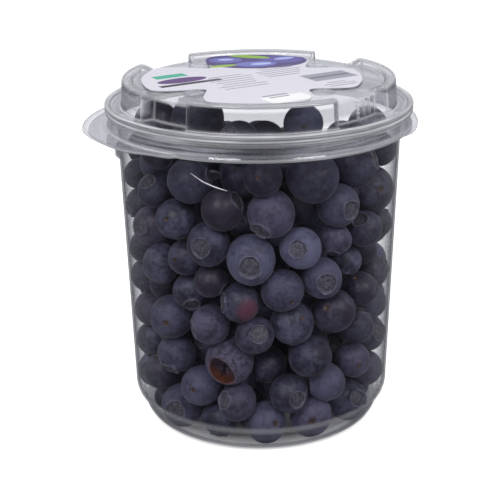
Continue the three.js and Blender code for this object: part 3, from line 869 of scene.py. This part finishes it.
def make_berries(heap):
    """One mesh for each kind of berry. Each point's shade is its bloom, its blush and its tone; tone holds
    painted shade high up.
    """
    rng = np.random.default_rng(SEED)
    kinds = list(BERRY_LOOKS)
    batches = {kind: [] for kind in kinds}
    for i, berry in enumerate(heap):
        points, marks = berry_shape(rng)
        upright = berry_axis(berry, rng).to_track_quat("Z", "Y").to_matrix()
        rotation = np.array(upright @ Matrix.Rotation(rng.uniform(0, tau), 3, "Z"))
        bloom, _, tone = rng.uniform(0, 1, 3)
        if i == SPLIT["berry"]:
            continue
        # Painted shade: a higher tone, so a darker skin, for berries high under the lid
        tone += PAINTED_SHADE_ABOVE["more"] * smooth_step((berry.z - PAINTED_SHADE_ABOVE["height"]) / PAINTED_SHADE_ABOVE["over"])
        placed = points @ rotation.T
        shade = np.tile([bloom, 0.0, tone], (len(points), 1))
        if i == BLUSHING["berry"]:
            spot = np.array(toward_front(berry, BLUSHING["right"], BLUSHING["up"]))
            unit = placed / np.linalg.norm(placed, axis=1, keepdims=True)
            shade[:, 1] = np.clip((unit @ spot - BLUSHING["from"]) / BLUSHING["over"], 0, 1)
        middle = np.array([berry.x, berry.y, max(berry.z, HEAP_FLOOR + berry.r)])
        inside = kept_inside(placed * berry.r * BERRY_SWELL + middle)
        batches[kinds[i % len(kinds)]].append((inside, marks, shade))
    one_skin = skin_faces(BERRY_RINGS, BERRY_SIDES)
    for kind, batch in batches.items():
        points, marks, shades = (np.vstack(layer) for layer in zip(*batch))
        starts = range(0, len(points), BERRY_POINTS)
        faces = [tuple(start + v for v in face) for start in starts for face in one_skin]
        piece = add_mesh("berries_" + kind, points, faces, "berries", "berry_skin")
        paint_points(piece, "marks", marks)
        paint_points(piece, "shade", shades)
        piece.data.materials.append(berry_material(kind))


# ---- Middle of the heap ----

CORE = {"radius": HEART["radius"] - 0.5, "lumps": 60, "lump": 6, "proud": 2.5, "past_ends": 8, "plain_tip": 3}


def core_outline(way):
    """Radius and height on the plain core's outline, some way along it from its lowest point."""
    radius = CORE["radius"]
    quarter = pi * radius / 2
    straight = HEART["high"] - HEART["low"]
    if way < quarter:
        return radius * sin(way / radius), HEART["low"] - radius * cos(way / radius)
    if way < quarter + straight:
        return radius, HEART["low"] + way - quarter
    angle = (way - quarter - straight) / radius
    return radius * cos(angle), HEART["high"] + radius * sin(angle)


def make_core():
    """The middle of the heap, which berries hide on every side: a lumpy core."""
    rng = np.random.default_rng(SEED + 1)
    rings, sides = 59, 64
    radius = CORE["radius"]
    low, high = HEART["low"], HEART["high"]
    whole_way = pi * radius + (high - low)
    lowest, highest = low - CORE["past_ends"], high + CORE["past_ends"]
    lumps = [(rng.uniform(0, 6.3), rng.uniform(lowest, highest)) for _ in range(CORE["lumps"])]
    points = [(0, 0, low - radius)]
    for ring in range(1, rings + 1):
        r, z = core_outline(whole_way * ring / (rings + 1))
        for side in range(sides):
            angle = tau * side / sides
            bump = 0.0
            for at, height in lumps:
                away = hypot(radius * remainder(angle - at, tau), z - height) / CORE["lump"]
                bump = max(bump, sqrt(max(0.0, 1 - away ** 2)))
            reach = r - CORE["proud"] * (1 - bump) if r > CORE["plain_tip"] else r
            points.append((reach * cos(angle), reach * sin(angle), z))
    points.append((0, 0, high + radius))
    return points, turned_over(skin_faces(rings, sides))


# ---- Split berry ----

def make_split(berry):
    """A berry whose skin has torn open over its wet flesh. The tear is at the pole of its mesh.

    The first half of its rings lie in the tear. Marks: flesh, the rim of the tear and its orange part.
    """
    rng = np.random.default_rng(SEED + 2)
    rings, sides = 48, 72
    in_tear = 0.5
    axis = way_to(SPLIT["azimuth"], SPLIT["rise"])
    across = Vector((0, 0, 1)).cross(axis).normalized()
    upright = np.array([across, axis.cross(across), axis])
    half_wide = asin(SPLIT["width"] / 2 / berry.r)
    half_high = asin(SPLIT["height"] / 2 / berry.r)
    phases = rng.uniform(0, 6.3, 8)
    points = []
    marks = []
    for ring in range(rings + 1):
        share = ring / rings
        for side in range(sides):
            turn = tau * side / sides
            slant = turn - radians(SPLIT["lean"])
            edge = 1 / hypot(cos(slant) / half_wide, sin(slant) / half_high)
            edge *= 1 + 0.02 * cos(3 * turn + phases[0]) + 0.025 * cos(5 * turn + phases[1])
            if share < in_tear:
                polar = edge * share / in_tear
            else:
                polar = edge + (pi - edge) * ((share - in_tear) / (1 - in_tear)) ** 1.35
            inside = polar / edge
            if inside < 1:
                ripple = sin(pi * inside) * inside ** 2
                wrinkles = 0.04 * cos(6 * turn + 4 * inside + phases[2]) * ripple
                depth = SPLIT["depth"] / berry.r * (1 - inside ** 2.6) * (0.8 + 0.25 * cos(turn - 0.9))
                reach = 1 - depth + wrinkles
            else:
                reach = 1 + 0.02 * exp(-((polar - edge) / 0.09) ** 2)
            out = reach * sin(polar)
            points.append((out * cos(turn), out * sin(turn), reach * cos(polar)))
            facing_down = smooth_step(0.3 + 0.85 * cos(turn - radians(245)))
            orange = facing_down * smooth_step((inside - 0.3) / 0.45)
            rim = exp(-((inside - 1.0) / 0.04) ** 2)
            marks.append((float(inside < 0.98), rim, orange))
    placed = np.array(points) @ upright * berry.r + np.array([berry.x, berry.y, berry.z])
    piece = add_mesh("berry_split", placed, ring_faces(rings + 1, sides), "berries", "berry_skin")
    paint_points(piece, "marks", np.array(marks))
    piece.data.materials.append(split_material())


# ---- Materials ----

class Nodes:
    """Short calls for a node tree. A value is a number, (red, green, blue) or another node's output."""

    def __init__(self, tree):
        self.tree = tree
        tree.nodes.clear()

    def add(self, kind, inputs=None, **settings):
        """A node, with each of its inputs set or linked."""
        node = self.tree.nodes.new("ShaderNode" + kind)
        for name, value in settings.items():
            setattr(node, name, value)
        for name, value in (inputs or {}).items():
            socket = node.inputs[name]
            if isinstance(value, bpy.types.NodeSocket):
                self.tree.links.new(value, socket)
            elif socket.type == "RGBA":
                socket.default_value = (*value, 1.0)
            else:
                socket.default_value = value
        return node

    def first(self, kind, inputs=None, **settings):
        """The first output of such a node."""
        return self.add(kind, inputs, **settings).outputs[0]

    def math(self, operation, a, b=0.0, clamp=False):
        return self.first("Math", {0: a, 1: b}, operation=operation, use_clamp=clamp)

    def sum(self, *values):
        return reduce(lambda a, b: self.math("ADD", a, b), values)

    def product(self, *values):
        return reduce(lambda a, b: self.math("MULTIPLY", a, b), values)

    def sum_of_squares(self, a, b):
        return self.sum(self.math("POWER", a, 2.0), self.math("POWER", b, 2.0))

    def size(self, value):
        return self.math("ABSOLUTE", value)

    def mix(self, factor, a, b):
        return self.add("Mix", {0: factor, 6: a, 7: b}, data_type="RGBA").outputs[2]

    def span(self, value, low, high, to_low=0.0, to_high=1.0):
        inputs = {"Value": value, "From Min": low, "From Max": high, "To Min": to_low, "To Max": to_high}
        return self.first("MapRange", inputs, clamp=True)

    def noise(self, coordinates, scale, detail=3.0, roughness=0.55):
        inputs = {"Vector": coordinates, "Scale": scale, "Detail": detail, "Roughness": roughness}
        return self.add("TexNoise", inputs).outputs["Fac"]

    def place(self, scale=(1000, 1000, 1000)):
        """The place on the object, in millimetres."""
        coordinates = self.add("TexCoord").outputs["Object"]
        return self.first("Mapping", {"Vector": coordinates, "Scale": scale})

    def axes(self, place):
        return self.add("SeparateXYZ", {"Vector": place}).outputs

    def painted(self, name):
        """The three values that the points have under this name."""
        values = self.add("Attribute", attribute_name=name).outputs["Color"]
        return self.add("SeparateColor", {"Color": values}).outputs

    def bump(self, height, strength, distance):
        inputs = {"Height": height, "Strength": strength, "Distance": distance}
        return self.first("Bump", inputs)

    def blend(self, share, first, second):
        return self.first("MixShader", {0: share, 1: first, 2: second})

    def surface(self, shader, output="OutputMaterial"):
        self.add(output, {"Surface": shader})


def new_material(name):
    material = bpy.data.materials.new(name)
    material.use_nodes = True
    return material, Nodes(material.node_tree)


# ---- Berry skin and flesh ----

BERRY_LOOKS = {
    "bloomed": {"skin": (0.026, 0.023, 0.044), "bloom": (0.128, 0.124, 0.212), "cover": 0.50},
    "dark": {"skin": (0.021, 0.018, 0.036), "bloom": (0.098, 0.094, 0.164), "cover": 0.42},
    "ruddy": {"skin": (0.030, 0.022, 0.040), "bloom": (0.114, 0.104, 0.178), "cover": 0.46},
    "pale": {"skin": (0.028, 0.027, 0.050), "bloom": (0.146, 0.148, 0.248), "cover": 0.56},
}
BLUSH = (0.15, 0.045, 0.075)
DISH = ((0.022, 0.019, 0.026), (0.135, 0.125, 0.150))
DRY_EDGE = (0.30, 0.30, 0.39)
SCAR = ((0.020, 0.011, 0.012), (0.125, 0.065, 0.045))
DARK_FLESH = ((0.008, 0.004, 0.009), (0.040, 0.022, 0.046))
ORANGE_FLESH = ((0.022, 0.005, 0.003), (0.12, 0.027, 0.006))
TORN_RIM = (0.20, 0.10, 0.09)


def berry_material(kind):
    """Dark skin under a waxy bloom that is rubbed off in patches, with a brown dish and a stem scar."""
    look = BERRY_LOOKS[kind]
    material, n = new_material("berry_" + kind)
    place = n.place()
    dish, dry_edge, scar = n.painted("marks")
    bloom_share, blush, tone = n.painted("shade")
    patches = n.noise(place, 0.16, 3.0, 0.6)
    mottle = n.noise(place, 0.62, 4.0, 0.65)
    specks = n.noise(place, 3.2, 2.0, 0.5)
    crumbs = n.noise(place, 1.3, 4.0, 0.7)
    by_berry = n.product(n.math("SUBTRACT", bloom_share, 0.5), 0.22)
    cover = n.sum(n.product(patches, 0.6), n.product(mottle, 0.55), by_berry)
    bloom = n.span(cover, 0.66 - look["cover"] * 0.4, 0.86 - look["cover"] * 0.3)
    bloom = n.product(bloom, n.span(specks, 0.25, 0.5, 0.82, 1.0))
    skin = n.mix(bloom, look["skin"], look["bloom"])
    # A higher tone darkens the skin. It differs from berry to berry at random, and carries painted shade on
    # berries high under the lid
    skin = n.mix(n.span(tone, 0, 1.7, 0.0, 0.8), skin, n.mix(0.75, skin, look["skin"]))
    skin = n.mix(n.product(blush, 0.8), skin, BLUSH)
    skin = n.mix(n.product(dish, 0.8), skin, n.mix(n.span(crumbs, 0.38, 0.60), *DISH))
    worn = n.span(n.noise(place, 0.45, 2.0, 0.5), 0.35, 0.65, 0.12, 0.62)
    skin = n.mix(n.product(dry_edge, worn), skin, DRY_EDGE)
    skin = n.mix(scar, skin, n.mix(n.span(crumbs, 0.4, 0.6), *SCAR))
    height = n.sum(n.product(mottle, 0.5), n.product(specks, 0.25))
    shader = n.first("BsdfPrincipled", {
        "Base Color": skin,
        "Roughness": n.span(bloom, 0, 1, 0.40, 0.60),
        "Specular IOR Level": 0.4,
        "Sheen Weight": 0.22,
        "Sheen Roughness": 0.3,
        "Normal": n.bump(height, 0.35, 0.0003),
    })
    n.surface(shader)
    return material


def split_material():
    """The skin of a ruddy berry, and flesh that is dark and orange, wet where it lies open."""
    look = BERRY_LOOKS["ruddy"]
    material, n = new_material("berry_split")
    place = n.place()
    open_flesh, rim, orange = n.painted("marks")
    mottle = n.noise(place, 0.62, 4.0, 0.65)
    fibres = n.noise(place, 1.6, 4.0, 0.7)
    skin = n.mix(n.span(mottle, 0.35, 0.62), look["skin"], look["bloom"])
    dark_flesh = n.mix(n.span(fibres, 0.4, 0.65), *DARK_FLESH)
    orange_flesh = n.mix(n.span(fibres, 0.35, 0.65), *ORANGE_FLESH)
    shown = n.mix(open_flesh, skin, n.mix(orange, dark_flesh, orange_flesh))
    shader = n.first("BsdfPrincipled", {
        "Base Color": n.mix(n.product(rim, 0.45), shown, TORN_RIM),
        "Roughness": n.span(open_flesh, 0, 1, 0.52, 0.2),
        "Specular IOR Level": n.span(open_flesh, 0, 1, 0.4, 0.28),
        "Sheen Weight": 0.08,
        "Normal": n.bump(n.sum(mottle, fibres), 0.5, 0.0004),
    })
    n.surface(shader)
    return material


# ---- Clear plastic ----

# How clear sheet looks: its tint, that of the crown's wall between its sides, which is darker as painted
# shade, that of sheet seen edge on, the gloss it has seen face on, and how cloudy it is. Each (from, to,
# more) step adds to the cloud between its radii.
TUB_TINT = (0.925, 0.926, 0.934)
TUB_LOOK = {
    "tint": TUB_TINT,
    "wall_shade_tint": TUB_TINT,
    "edge_tint": (0.46, 0.47, 0.50),
    "least_gloss": 0.012,
    "cloud": 0.0,
    "cloud_steps": [(MOUTH_R + 0.1, MOUTH_R + 0.6, 0.10)],
}
LID_LOOK = {
    "tint": (0.94, 0.943, 0.952),
    "wall_shade_tint": (0.79, 0.795, 0.81),
    "edge_tint": (0.80, 0.81, 0.84),
    "least_gloss": 0.03,
    "cloud": 0.09,
    "cloud_steps": [(GAP_R - 1.2, GAP_R - 0.4, -0.085), (CROWN_FOOT_R - 0.2, CROWN_FOOT_R + 0.4, 0.11)],
}
# Painted light at folds: what shows through is darkened as painted shade for refraction, and the cloud turns
# paler as a painted highlight
FOLD_SHADE_TINT = (0.42, 0.43, 0.46)
CLOUD = (0.56, 0.57, 0.62)
FOLD_HIGHLIGHT_CLOUD = (0.95, 0.95, 0.97)
STREAK_TONE = (0.9, 0.9, 0.94)


def crown_sides(n, x, z):
    """How much a place belongs to the crown's wall, and to its two sides."""
    above = n.span(z, CHANNEL_Z + 1, CHANNEL_Z + 3)
    below = n.span(z, PLATEAU_Z - 1, PLATEAU_Z - 0.2, 1.0, 0.0)
    return n.product(above, below), n.span(n.size(n.sum(x, 6.0)), 31, 34)


def cloud_share(n, look, x, z, out, folds):
    """How cloudy clear sheet is: in streaks, less at the front and on the pull tabs, more at its folds."""
    streaks = n.span(n.noise(n.place((40, 40, 1100)), 1.0, 3.0, 0.6), 0.40, 0.62, 0.2, 1.9)
    # Painted sheen: the sheet's own haze is thinned at the front and thickened toward the sides, which look
    # paler
    clearer = n.span(n.size(x), 4, 26, 0.15, 1.45)
    clearer = n.math("MAXIMUM", clearer, n.span(z, BEAD_Z + 1, BEAD_Z + 1.6, 0.0, 1.3))
    clearer = n.product(clearer, n.span(out, RING_R + 0.3, RING_R + 1.5, 1.0, 0.3))
    steps = [n.span(out, start, end, 0.0, more) for start, end, more in look["cloud_steps"]]
    cloudy = n.sum(look["cloud"], *steps)
    # Painted sheen: more cloud on the crown wall's sides
    wall, at_sides = crown_sides(n, x, z)
    cloudy = n.sum(n.product(cloudy, n.product(streaks, clearer)), n.product(wall, at_sides, 0.32))
    # More cloud along folds: a painted highlight
    return n.math("ADD", cloudy, n.product(folds, 0.22), clamp=True)


def clear_material(name, look):
    """Thin clear sheet under a gloss: what is behind shows through, tinted more where it is seen edge on."""
    material, n = new_material(name)
    edge_on = n.math("POWER", n.add("LayerWeight", {"Blend": 0.5}).outputs["Facing"], 5.0)
    folds = n.span(n.add("Attribute", attribute_name="folds").outputs["Fac"], 0.1, 0.9)
    x, y, z = n.axes(n.place())
    out = n.math("SQRT", n.sum_of_squares(x, y))
    wall, at_sides = crown_sides(n, x, z)
    # Painted shade: what shows through the crown's wall between its sides is darkened
    shaded_crown_wall = n.product(wall, n.math("SUBTRACT", 1.0, at_sides))
    through = n.mix(edge_on, n.mix(shaded_crown_wall, look["tint"], look["wall_shade_tint"]), look["edge_tint"])
    # Painted shade along folds, for the dark lines of refraction
    through = n.mix(n.product(folds, 0.5), through, FOLD_SHADE_TINT)
    clear = n.first("BsdfTransparent", {"Color": through})
    # Paler cloud at folds: a painted highlight along them
    cloud = n.first("BsdfDiffuse", {"Color": n.mix(folds, CLOUD, FOLD_HIGHLIGHT_CLOUD)})
    body = n.blend(cloud_share(n, look, x, z, out, folds), clear, cloud)
    ripple = n.noise(n.place((60, 60, 700)), 1.0, 2.0, 0.5)
    fine = n.noise(n.place((400, 400, 900)), 0.6, 2.0, 0.5)
    normal = n.bump(n.sum(ripple, n.product(fine, 0.3)), 0.3, 0.0004)
    shine = n.first("BsdfGlossy", {"Roughness": 0.055, "Normal": normal})
    n.surface(n.blend(n.span(edge_on, 0, 1, look["least_gloss"], 0.75), body, shine))
    return material


def streak_material():
    """The streak catches the light all along."""
    material, n = new_material("clear_streak")
    clear = n.first("BsdfTransparent")
    pale = n.first("BsdfDiffuse", {"Color": STREAK_TONE})
    n.surface(n.blend(n.span(n.noise(n.place(), 0.8), 0.3, 0.6, 0.4, 0.85), clear, pale))
    return material


# ---- Label paper and its print ----

PAPER = ((0.63, 0.62, 0.69), (0.70, 0.69, 0.75))
ROW_INK = (0.15, 0.14, 0.20)
SOFT_EDGE = 0.02
PRINT_TURN = 32
# Fields of the print: shape, x, y, half length, half width, turn, colour
PRINT = [
    ("ellipse", -2, 33, 21, 15.5, 0, (0.055, 0.035, 0.16)),
    ("ellipse", -13, 34, 6.5, 5.5, 0, (0.12, 0.12, 0.38)),
    ("ellipse", 9, 35, 8.5, 7, 0, (0.10, 0.08, 0.30)),
    ("ellipse", -1, 26, 8, 5, 10, (0.15, 0.16, 0.46)),
    ("ellipse", 1, 26.5, 4.2, 2.0, 20, (0.42, 0.48, 0.80)),
    ("ellipse", 10, 37, 4.4, 2.2, 30, (0.36, 0.40, 0.74)),
    ("ellipse", -13, 35, 3.2, 1.8, 10, (0.42, 0.47, 0.78)),
    ("ellipse", -4, 41, 9, 2.8, -20, (0.24, 0.42, 0.05)),
    ("ellipse", -14, 22.5, 6, 2.0, 22, (0.28, 0.44, 0.07)),
    ("bar", -33, 4, 6.5, 2.6, PRINT_TURN, (0.05, 0.38, 0.26)),
    ("ellipse", -28, -3, 10, 4, PRINT_TURN, (0.085, 0.03, 0.15)),
    ("bar", -24.5, -8, 12.5, 1.5, PRINT_TURN, (0.015, 0.01, 0.022)),
    ("bar", 26, 3, 9.5, 5.6, PRINT_TURN, (0.30, 0.30, 0.36)),
    ("bar", 26, 3, 8.6, 1.0, PRINT_TURN, (0.14, 0.14, 0.18)),
    ("bar", 10, -33, 8.5, 4.6, PRINT_TURN, (0.86, 0.86, 0.86)),
]
# Blocks of printed rows: first row's x and y, step to the next row, half length, half width, rows
PRINTED_ROWS = [
    (6, 20, (0.7, -3.0), 10, 0.45, 6),
    (-12.5, 3.5, (1.4, -3.0), 10, 0.45, 7),
    (28, -7.5, (1.3, -2.4), 7, 0.45, 3),
    (5.5, -28.5, (1.6, -2.4), 7, 0.7, 2),
]


def printed(n, place, shape, x, y, half_x, half_y, turn):
    """1 inside a turned ellipse or bar on the label, 0 outside, with a crisp edge."""
    shares = n.first("Mapping", {
        "Vector": place,
        "Location": (x, y, 0),
        "Rotation": (0, 0, radians(turn)),
        "Scale": (half_x, half_y, 1),
    }, vector_type="TEXTURE")
    along, across, _ = (n.size(axis) for axis in n.axes(shares))
    if shape == "bar":
        return n.span(n.math("MAXIMUM", along, across), 1 + SOFT_EDGE, 1 - SOFT_EDGE)
    return n.span(n.sum_of_squares(along, across), 1 + 2 * SOFT_EDGE, 1 - 2 * SOFT_EDGE)


def label_material():
    """White coated paper with the fields of its print, and rows whose ink is uneven."""
    material, n = new_material("label_paper")
    place = n.place()
    fibre = n.noise(place, 2.2, 4.0, 0.6)
    shown = n.mix(n.span(fibre, 0.3, 0.7), *PAPER)
    for *field, tone in PRINT:
        shown = n.mix(printed(n, place, *field), shown, tone)
    for x, y, (step_x, step_y), half_x, half_y, rows in PRINTED_ROWS:
        for row in range(rows):
            length = half_x - (row * 5 + rows) % 4
            mask = printed(n, place, "bar", x + step_x * row, y + step_y * row, length, half_y, PRINT_TURN)
            shown = n.mix(n.product(mask, n.span(fibre, 0.35, 0.6, 0.45, 0.95)), shown, ROW_INK)
    shader = n.first("BsdfPrincipled", {
        "Base Color": shown,
        "Roughness": n.span(fibre, 0.2, 0.8, 0.42, 0.52),
        "Specular IOR Level": 0.16,
        "Normal": n.bump(fibre, 0.08, 0.0002),
    })
    n.surface(shader)
    return material


# ---- Stage ----

def make_camera():
    data = bpy.data.cameras.new("camera")
    data.lens = FOCAL_LENGTH
    data.sensor_width = 36
    data.shift_x, data.shift_y = FRAME_SHIFT
    data.clip_start = 0.01
    camera = add_object("camera", data)
    back = way_to(270, CAMERA_RISE)
    level_right = Vector((1, 0, 0))
    level_up = back.cross(level_right)
    roll = radians(CAMERA_ROLL)
    up = level_up * cos(roll) + level_right * sin(roll)
    right = level_right * cos(roll) - level_up * sin(roll)
    turn = Matrix((right, up, back)).transposed().to_4x4()
    camera.matrix_world = Matrix.Translation(camera_place * MM) @ turn
    bpy.context.scene.camera = camera


# Softboxes: name, azimuth and rise of the way to it, its width and height in metres, and its power in watts
SOFTBOXES = [
    ("left_softbox", 242, 42, 0.30, 0.22, 2.4),
    ("right_softbox", 312, 42, 0.30, 0.22, 2.0),
    ("top_softbox", 90, 78, 0.5, 0.5, 1.0),
]
SOFTBOX_DISTANCE = 0.9
SOFTBOX_AIM = Vector((0, 0, 0.06))


def make_lights():
    for name, azimuth, rise, width, height, power in SOFTBOXES:
        data = bpy.data.lights.new(name, "AREA")
        data.shape = "RECTANGLE"
        data.size, data.size_y = width, height
        data.energy = power
        light = add_object(name, data)
        way = way_to(azimuth, rise)
        light.location = way * SOFTBOX_DISTANCE + SOFTBOX_AIM
        light.rotation_euler = way.to_track_quat("Z", "Y").to_euler()


def make_world():
    """White behind the pack. Gloss shows a room lit above and behind, and matt surfaces a soft sky."""
    world = bpy.data.worlds.new("studio")
    bpy.context.scene.world = world
    world.use_nodes = True
    n = Nodes(world.node_tree)
    _, back, up = n.axes(n.add("TexCoord").outputs["Generated"])
    behind = n.span(back, -0.5, 0.5)
    dim = n.mix(behind, (0.13, 0.132, 0.15), (0.22, 0.225, 0.24))
    lit = n.mix(behind, (0.75, 0.76, 0.79), (1.05, 1.06, 1.10))
    room = n.mix(n.span(up, -0.05, 0.22), dim, lit)
    sky = n.mix(n.span(up, -0.35, 0.5), (0.16, 0.16, 0.165), (0.58, 0.58, 0.60))
    path = n.add("LightPath").outputs
    seen = n.mix(path["Is Diffuse Ray"], room, sky)
    seen = n.mix(path["Is Camera Ray"], seen, (1, 1, 1))
    background = n.first("Background", {"Color": seen, "Strength": 1.0})
    n.surface(background, "OutputWorld")


FLOOR_REACH = 4  # metres
FLOOR_DROP = 0.0002  # metres below the pack


def make_floor():
    """A pale floor with a painted shadow under the foot, where its glow is dimmer."""
    corners = ((-1, -1), (1, -1), (1, 1), (-1, 1))
    points = [(x * FLOOR_REACH, y * FLOOR_REACH, 0) for x, y in corners]
    mesh = bpy.data.meshes.new("floor")
    mesh.from_pydata(points, [], [(0, 1, 2, 3)])
    floor = add_object("floor", mesh)
    floor.location.z = -FLOOR_DROP
    material, n = new_material("floor")
    x, y, _ = n.axes(n.place())
    out = n.math("SQRT", n.sum_of_squares(x, y))
    foot = BASE_R - BASE_CORNER
    # Painted shadow: the glow fades toward the middle under the pack and drops at the edge of its base
    light = n.sum(n.span(out, foot - 9, foot - 1, 0.04, 0.4), n.span(out, foot + 0.5, foot + 2.5, 0, 0.4))
    seen = n.add("LightPath").outputs["Is Camera Ray"]
    strength = n.product(light, n.span(seen, 0, 1, 0.19, 1.0))
    white = n.first("Emission", {"Color": (1, 1, 1), "Strength": strength})
    matt = n.first("BsdfDiffuse", {"Color": (0.5, 0.5, 0.5)})
    n.surface(n.first("AddShader", {0: white, 1: matt}))
    mesh.materials.append(material)
    floor.visible_glossy = False


# ---- The scene ----

scene = bpy.context.scene
scene.view_settings.view_transform = "Standard"
scene.cycles.transparent_max_bounces = 40
scene.cycles.max_bounces = 8

make_camera()
make_lights()
make_world()
make_floor()

weigh_normals(add_sheet("tub_clear", make_tub(), clear_material("clear_tub", TUB_LOOK), "tub", "clear_tub"))
streak = add_mesh("tub_streak", *make_streak(), "tub", "clear_tub")
streak.data.materials.append(streak_material())

lid_material = clear_material("clear_lid", LID_LOOK)
weigh_normals(add_sheet("lid_clear", make_lid(), lid_material, "lid", "clear_lid"))
add_sheet("lid_studs", make_studs(), lid_material, "lid", "clear_lid")

label = add_mesh("label_sheet", *make_label(), "label", "label_paper", smooth=False)
label.data.materials.append(label_material())

heap = settled_berries()
make_berries(heap)
make_split(heap[SPLIT["berry"]])
core = add_mesh("heap_core", *make_core(), "berries", "berry_skin")
core.data.materials.append(berry_material("dark"))
no_marks = np.zeros((len(core.data.vertices), 3))
paint_points(core, "marks", no_marks)
paint_points(core, "shade", no_marks)
